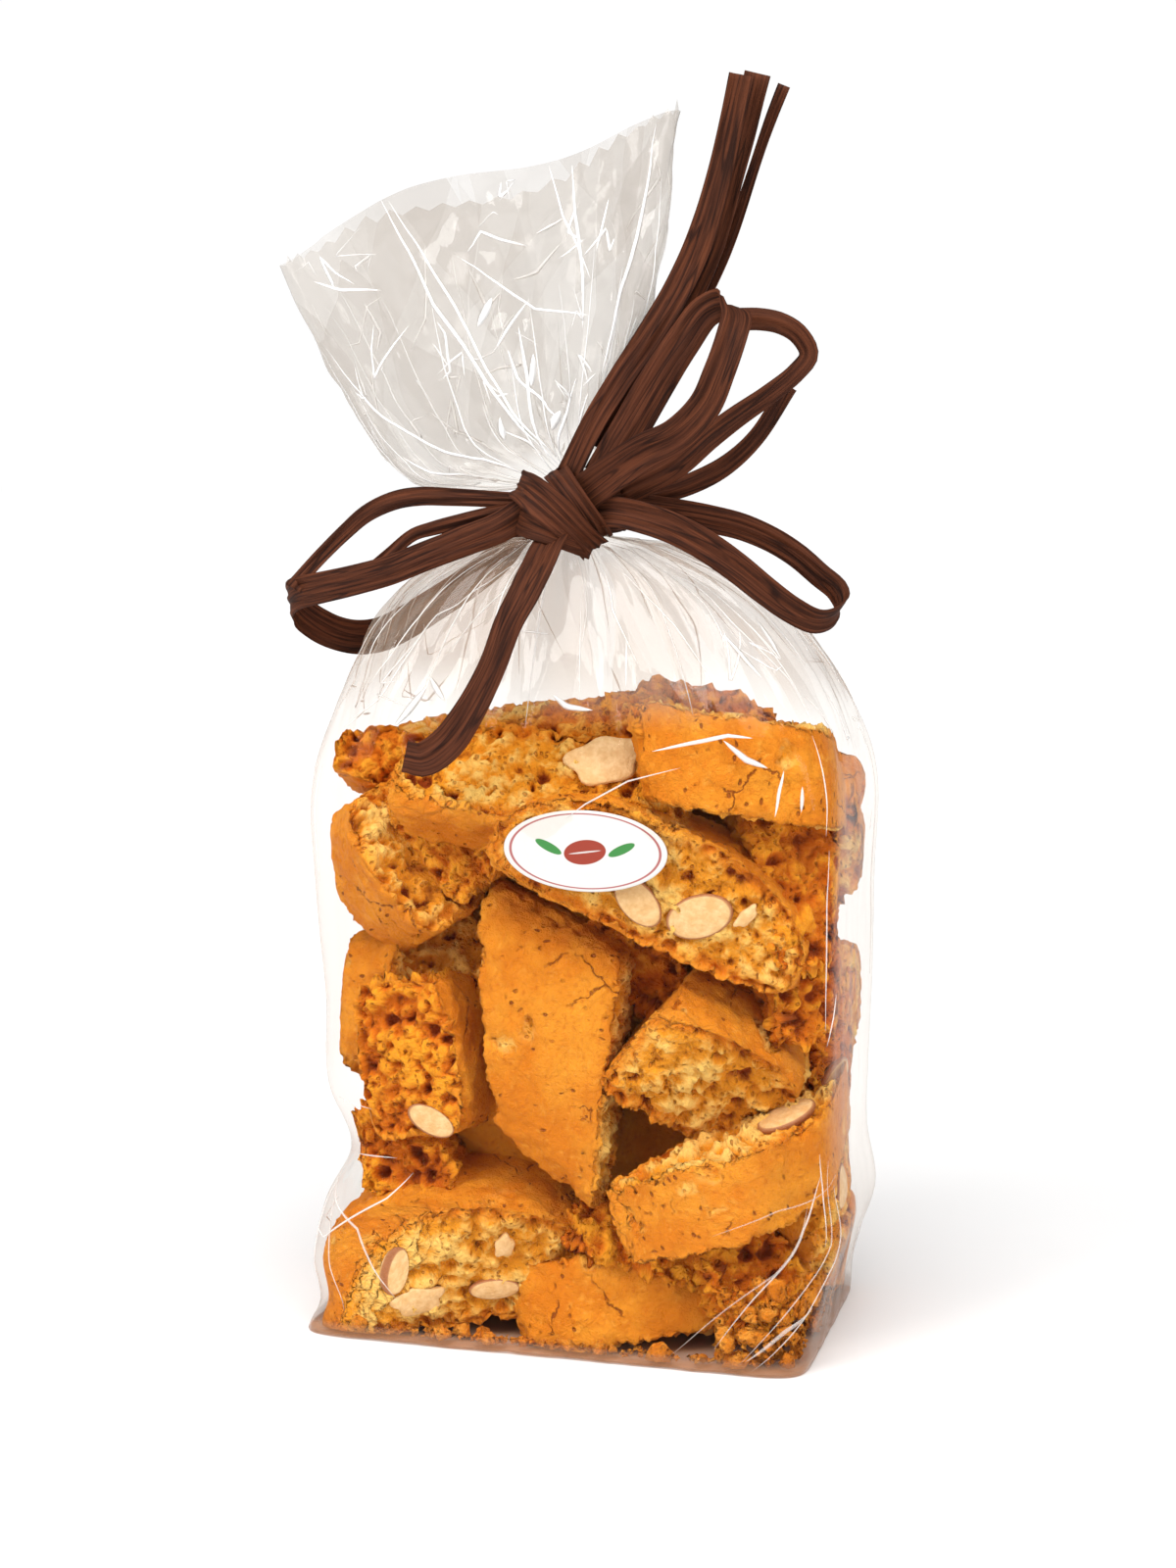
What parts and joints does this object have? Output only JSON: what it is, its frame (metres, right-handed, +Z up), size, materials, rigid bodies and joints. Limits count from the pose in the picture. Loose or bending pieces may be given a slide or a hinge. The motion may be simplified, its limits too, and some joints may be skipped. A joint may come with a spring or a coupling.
{
  "type": "bag of almond biscotti",
  "caption": "Clear block-bottom film bag filled with almond biscotti, gathered at the neck and tied with a dark brown raffia bow, with an oval sticker on the front.",
  "frame": {"origin": "centre of the flat bottom the bag stands on, mount base", "axes": "+Z up, +X to the right of the front, -Y out of the front that carries the sticker"},
  "size_m": [0.126, 0.0787, 0.2629],
  "materials": {
    "clear_film": "clear crinkled cellophane film over the biscotti",
    "biscuit": "baked crust, smooth and cracked, with rough porous cut faces",
    "almond": "cut almond, satin",
    "raffia": "pleated matt raffia",
    "sticker_paper": "satin paper"
  },
  "bodies": {
    "root": {"bag": "clear_film", "label": "sticker_paper", "tie": "raffia", "knot": "raffia", "left_loop": "raffia", "left_upper_strand": "raffia", "left_split_strand": "raffia", "right_loop": "raffia", "upper_loop": "raffia", "right_upper_loop": "raffia", "outer_strand": "raffia", "tail_left": "raffia", "tail_middle": "raffia", "tail_right": "raffia", "lower_tail": "raffia"}
  },
  "joints": []
}
